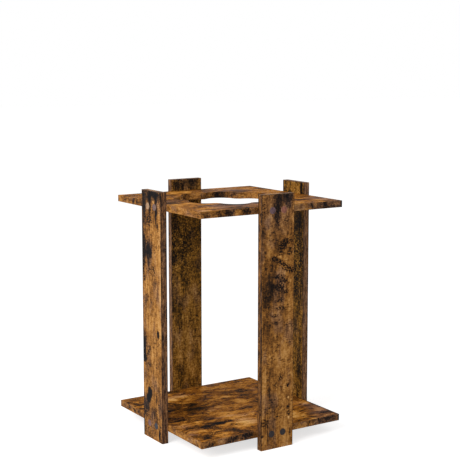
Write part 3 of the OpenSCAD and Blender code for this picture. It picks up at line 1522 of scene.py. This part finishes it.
@dataclass
class Studio:
    """Plain pale floor, white surround and one large soft lamp.

    Attributes:
        floor_size: Side of the floor in metres.
        floor_tone: Screen colour of the floor.
        floor_glow: Light that lifts the floor to white where it is seen.
        ambient: Strength of the surround as light.
        lamp_energy: Power of the lamp in watts.
        lamp_place: Its place in metres.
        lamp_size: Its side in metres.
    """

    floor_size: float = 40.0
    floor_tone: Numbers = (222, 222, 222)
    floor_glow: float = 0.68
    ambient: float = 0.5
    lamp_energy: float = 60.0
    lamp_place: Numbers = (-2.6, -0.9, 1.9)
    lamp_size: float = 1.8

    def build(self) -> None:
        """Make the floor, the surround and the lamp."""
        self._floor()
        self._surround()
        self._lamp()

    def _floor(self) -> None:
        """Lay the floor, which takes the rack's shadow and looks white beyond it."""
        bpy.ops.object.select_all(action="DESELECT")
        bpy.ops.mesh.primitive_plane_add(size=self.floor_size)
        floor = bpy.context.object
        floor.name = "floor"
        bench = NodeBench(bpy.data.materials.new("floor_paper"))
        paper = bench.node("BsdfDiffuse", srgb(*self.floor_tone))
        glow = bench.node("Emission", WHITE, bench.calc("MULTIPLY", bench.seen(), self.floor_glow))
        both = bench.node("AddShader", paper.outputs["BSDF"], glow.outputs["Emission"])
        bench.node("OutputMaterial", both.outputs["Shader"])
        floor.data.materials.append(bench.owner)

    def _surround(self) -> None:
        """Light the rack from all round, and show white behind it."""
        world = bpy.data.worlds.new("surround")
        bpy.context.scene.world = world
        bench = NodeBench(world)
        soft = bench.node("Background", WHITE, self.ambient)
        white = bench.node("Background", WHITE, 1.0)
        shown = bench.node("MixShader", bench.seen(), soft.outputs["Background"], white.outputs["Background"])
        bench.node("OutputWorld", shown.outputs["Shader"])

    def _lamp(self) -> None:
        """Hang the lamp, which faces the middle of the rack."""
        low, high = CAD_BOX
        lamp = bpy.data.lights.new("key_lamp", "AREA")
        lamp.size = self.lamp_size
        lamp.energy = self.lamp_energy
        hung = bpy.data.objects.new("key_lamp", lamp)
        bpy.context.scene.collection.objects.link(hung)
        hung.location = self.lamp_place
        hung.rotation_euler = (hung.location - (low + high) / 2).to_track_quat("Z", "Y").to_euler()
        hung.visible_camera = False


@dataclass
class ShopCamera:
    """Camera at the photograph's viewing angle, looking at the front left corner from above.

    Attributes:
        place: Its place in metres.
        yaw: Turn of its sight from +Y to the right, in degrees.
        pitch: Tilt of its sight below the horizon, in degrees.
        lens: Focal length in millimetres.
        sensor: Width of its sensor in millimetres.
    """

    place: Numbers = (-1.47976, -2.29782, 0.88989)
    yaw: float = 32.896
    pitch: float = 8.3007
    lens: float = 88.53
    sensor: float = 36.0

    def build(self) -> None:
        """Make the camera the scene's own."""
        data = bpy.data.cameras.new("camera")
        data.lens = self.lens
        data.sensor_width = self.sensor
        camera = bpy.data.objects.new("camera", data)
        bpy.context.scene.collection.objects.link(camera)
        camera.location = self.place
        camera.rotation_euler = (math.radians(90 - self.pitch), 0, math.radians(-self.yaw))
        bpy.context.scene.camera = camera


def uprights() -> tuple[Upright, ...]:
    """Set up the left, front, right and back posts.

    Returns:
        The posts.
    """
    face = FacePrint(
        figure=SPECKLED, tone=0.42, stains=0.4, inner_palette=OLIVE, inner_tone=0.06, inner_stains=0.14
    )
    band = PostBandPrint(figure=POST_BAND, tone=0.48, cool=0.95)
    left = Upright(
        Side.LEFT,
        replace(face, marks=LEFT_MARKS, washes=LEFT_WASHES, seed=3.0, tone=0.436, figure=CLEAR, stains=0.0),
        replace(band, marks=END_MARKS, seed=23.0, tone=0.53, cool=0.85),
        top_covers=CoverFilm(((206, 166, 128), (132, 104, 98))),
        base_covers=CoverFilm(((142, 104, 98), (54, 56, 66)), wear_and_highlight=0.08),
    )
    front = Upright(
        Side.FRONT,
        replace(face, marks=FRONT_MARKS, washes=FRONT_WASHES, seed=17.0, figure=SOFT, stains=0.0),
        replace(band, marks=END_MARKS, seed=37.0, tone=0.56, cool=0.3),
        top_covers=CoverFilm(((126, 98, 104), (172, 112, 92))),
        base_covers=CoverFilm(((48, 40, 42), (46, 40, 42)), wear_and_highlight=0.08),
    )
    right = Upright(
        Side.RIGHT,
        replace(face, seed=29.0, inner_tone=0.08),
        replace(band, seed=49.0),
        inner_marks=RIGHT_MARKS,
        inner_washes=RIGHT_WASHES,
    )
    back = Upright(
        Side.BACK,
        replace(face, seed=33.0, inner_tone=0.04),
        replace(band, seed=53.0),
        inner_marks=BACK_MARKS,
        inner_washes=BACK_WASHES,
    )
    return left, front, right, back


def boards() -> tuple[Board, ...]:
    """Set up the base board and the top board.

    Returns:
        The boards.
    """
    face = FacePrint(figure=SWIRLED, tone=0.466, cool=-0.2, palette=HONEY, inner_palette=HONEY, gloss=0.006)
    band = BoardBandPrint(figure=BOARD_BAND, cool=0.12)
    base = Board(
        Level.BASE,
        replace(face, marks=BASE_MARKS, washes=BASE_WASHES, seed=40.0),
        replace(band, washes=BASE_EDGE_WASHES, edges=BASE_EDGES, seed=80.0, tone=0.45),
    )
    top = OpenBoard(
        Level.TOP,
        replace(face, marks=TOP_MARKS, washes=TOP_WASHES, seed=61.0),
        replace(band, washes=TOP_EDGE_WASHES, edges=TOP_EDGES, seed=90.0, tone=0.46),
        replace(band, marks=OPENING_MARKS, seed=97.0, tone=0.5, cool=0.0, mark_reach=30.0),
    )
    return base, top


def main() -> None:
    """Build the rack's looks, the studio and the camera."""
    logging.basicConfig(level=logging.INFO, format="%(name)s: %(message)s")
    for part in (*uprights(), *boards(), ScrewSet()):
        part.dress()
    Studio().build()
    ShopCamera().build()
    bpy.context.scene.view_settings.view_transform = "Standard"


if __name__ == "__main__":
    main()
